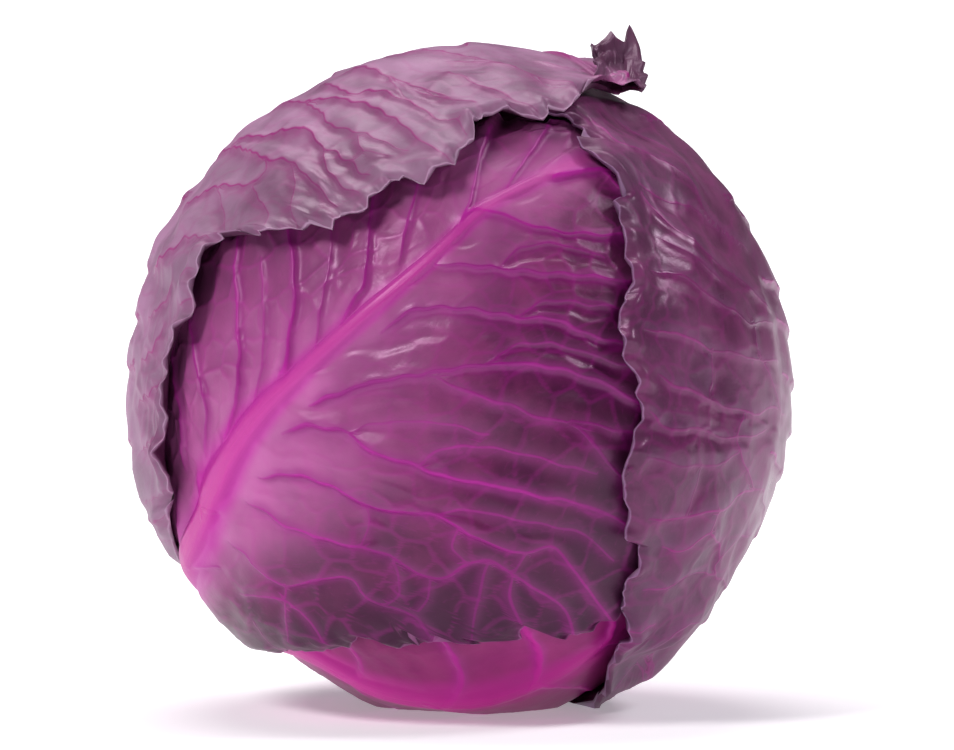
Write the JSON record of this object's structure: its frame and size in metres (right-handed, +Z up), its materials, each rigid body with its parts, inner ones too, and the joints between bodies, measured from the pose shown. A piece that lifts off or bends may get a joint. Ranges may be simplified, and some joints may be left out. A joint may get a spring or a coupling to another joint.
{
  "type": "red cabbage head",
  "caption": "Round red cabbage head lying on a small flat spot: a dense heart on a cut stalk, wrapped by loose waved outer leaves with raised ribs and veins",
  "frame": {"origin": "the middle of the small flat spot that the head rests on, on the table below the middle of the head", "axes": "+Z is up, the viewer of the picture looks along +Y and sees +X to the right; the stalk end points left, back and down, and the crown points right and up"},
  "size_m": [0.166, 0.1645, 0.1689],
  "materials": {
    "heart": "firm packed red cabbage leaves, waxy",
    "stalk": "pale cut stem, matt and slightly fibrous",
    "leaf_under": "bright magenta leaf, waxy",
    "leaf_back": "purple leaf with pink veins, waxy",
    "leaf_front": "purple leaf with bright magenta ribs, waxy",
    "leaf_right": "dull purple leaf with a pale waxy bloom",
    "leaf_cap": "mauve leaf with magenta veins and a pale waxy bloom"
  },
  "bodies": {
    "root": {"heart": "heart", "stalk": "stalk", "leaf_under": "leaf_under", "leaf_back": "leaf_back", "leaf_front": "leaf_front", "leaf_right": "leaf_right", "leaf_cap": "leaf_cap"}
  },
  "joints": []
}
